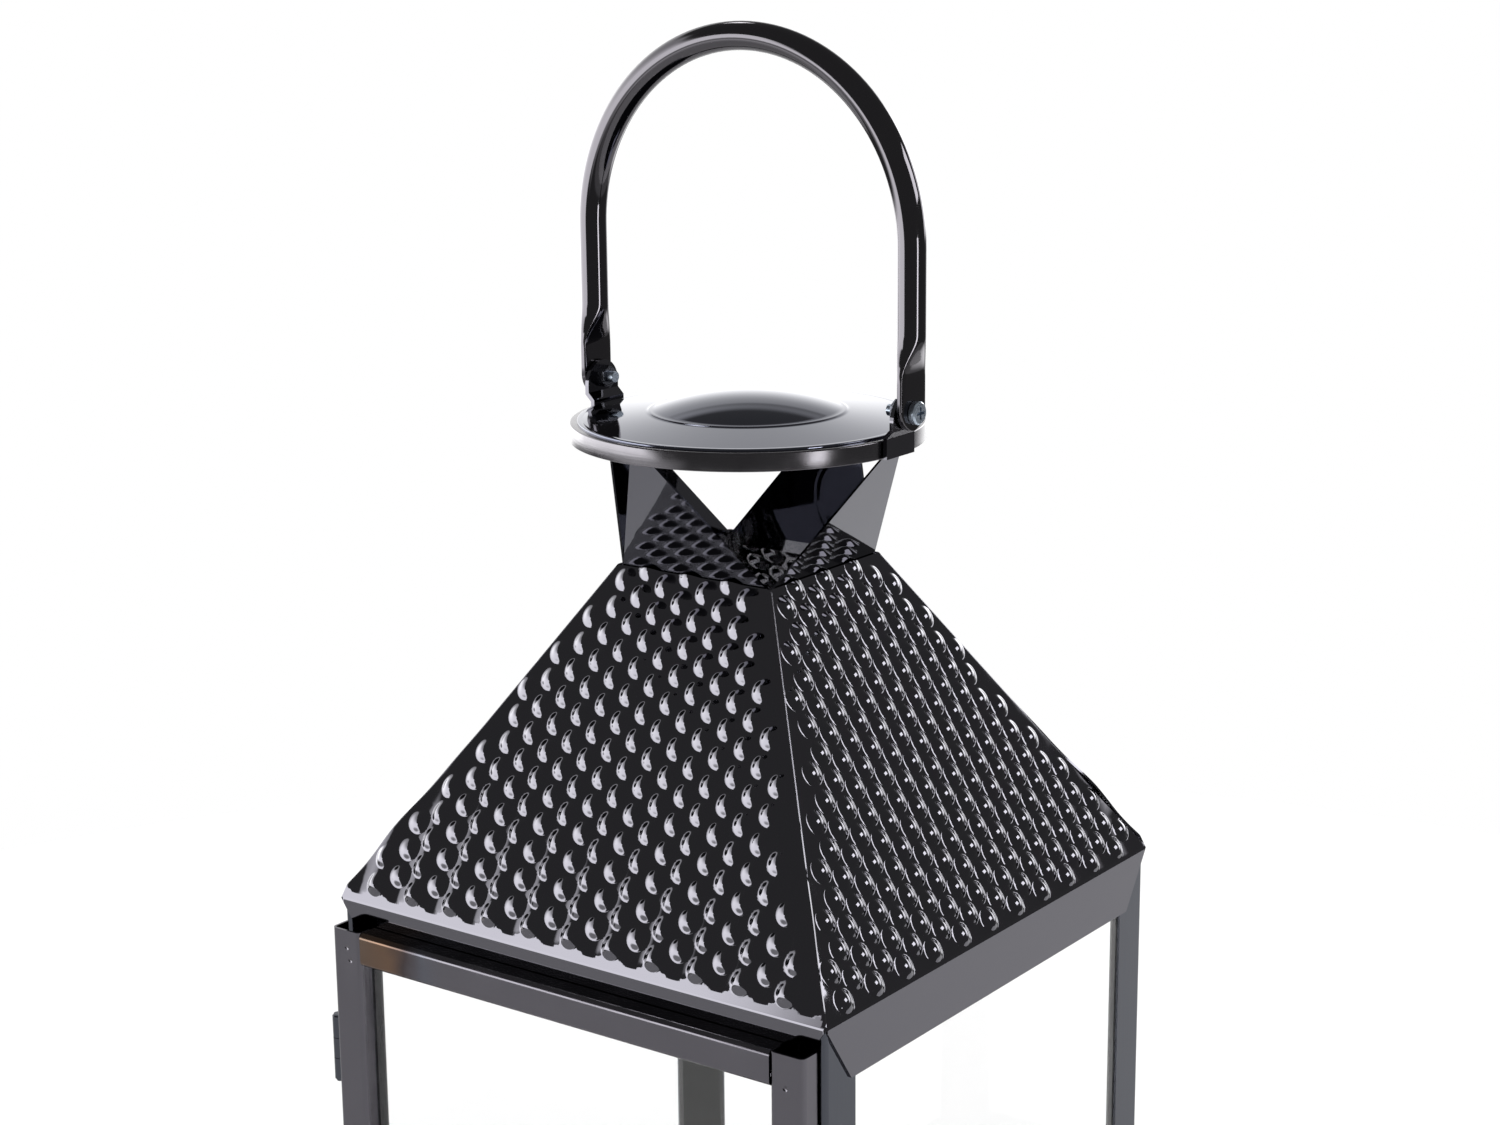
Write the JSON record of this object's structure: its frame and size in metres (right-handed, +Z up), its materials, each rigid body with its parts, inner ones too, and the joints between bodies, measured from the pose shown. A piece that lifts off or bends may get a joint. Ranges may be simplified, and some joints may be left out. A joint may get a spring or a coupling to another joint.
{
  "type": "candle lantern",
  "caption": "Square glazed metal candle lantern in glossy dark nickel, with a dimpled pyramid roof, flared neck under a round domed cap, arched tube handle and hinged glass door.",
  "frame": {"origin": "centre of the square footprint, on the surface the lantern stands on", "axes": "+Z up, -Y out through the door, +X to the right for someone who faces the door"},
  "size_m": [0.2126, 0.2273, 0.56],
  "materials": {
    "tray_sheet": "glossy black nickel plated sheet steel",
    "post_sheet": "glossy black nickel plated sheet steel",
    "clear_glass": "clear float glass",
    "tab_sheet": "glossy black nickel plated sheet steel",
    "embossed_sheet": "glossy black nickel plated sheet steel, embossed with round bosses",
    "neck_sheet": "mirror bright black nickel plated sheet steel",
    "ring_steel": "glossy black nickel plated strip steel",
    "cap_sheet": "mirror bright black nickel plated sheet steel",
    "ear_strip": "glossy black nickel plated strip steel",
    "zinc_bolt": "bright zinc plated steel",
    "dark_nut": "dark plated steel",
    "hinge_steel": "glossy black nickel plated steel",
    "door_sheet": "satin to glossy black nickel plated sheet steel with light heat tint",
    "knob_nickel": "glossy black nickel plated turned steel",
    "handle_tube": "polished black nickel plated steel tube"
  },
  "bodies": {
    "body": {"base_tray": "tray_sheet", "floor_plate": "tray_sheet", "post_front_left": "post_sheet", "post_front_right": "post_sheet", "post_back_left": "post_sheet", "post_back_right": "post_sheet", "glass_left": "clear_glass", "glass_right": "clear_glass", "glass_back": "clear_glass", "glass_tabs": "tab_sheet", "roof_panel_front": "embossed_sheet", "roof_panel_right": "embossed_sheet", "roof_panel_back": "embossed_sheet", "roof_panel_left": "embossed_sheet", "neck_plate_front": "neck_sheet", "neck_plate_right": "neck_sheet", "neck_plate_back": "neck_sheet", "neck_plate_left": "neck_sheet", "cap_ring": "ring_steel", "cap_plate": "cap_sheet", "ear_left": "ear_strip", "ear_right": "ear_strip", "bolt_left": "zinc_bolt", "bolt_right": "zinc_bolt", "nut_left": "dark_nut", "nut_right": "dark_nut", "hinge_leaves_post": "hinge_steel", "hinge_pins": "hinge_steel"},
    "door": {"hinge_leaves_door": "hinge_steel", "door_stile_left": "door_sheet", "door_stile_right": "door_sheet", "door_rail_top": "door_sheet", "door_rail_bottom": "door_sheet", "door_glass": "clear_glass", "door_glass_clips": "tab_sheet"},
    "latch": {"latch_knob": "knob_nickel", "latch_spindle": "zinc_bolt", "latch_washer": "zinc_bolt", "latch_catch": "zinc_bolt"},
    "handle": {"handle": "handle_tube"}
  },
  "joints": [
    {"name": "door_swing", "type": "hinge", "parent": "body", "child": "door", "pos_m": [-0.1052, -0.10875, 0.1275], "axis": [0, 0, -1], "range_deg": [0, 170]},
    {"name": "latch_turn", "type": "hinge", "parent": "door", "child": "latch", "pos_m": [0.09535, -0.1132, 0.1275], "axis": [0, -1, 0], "range_deg": [0, 90]},
    {"name": "handle_swing", "type": "hinge", "parent": "body", "child": "handle", "pos_m": [0, 0, 0.432], "axis": [1, 0, 0], "range_deg": [-145, 145]}
  ]
}
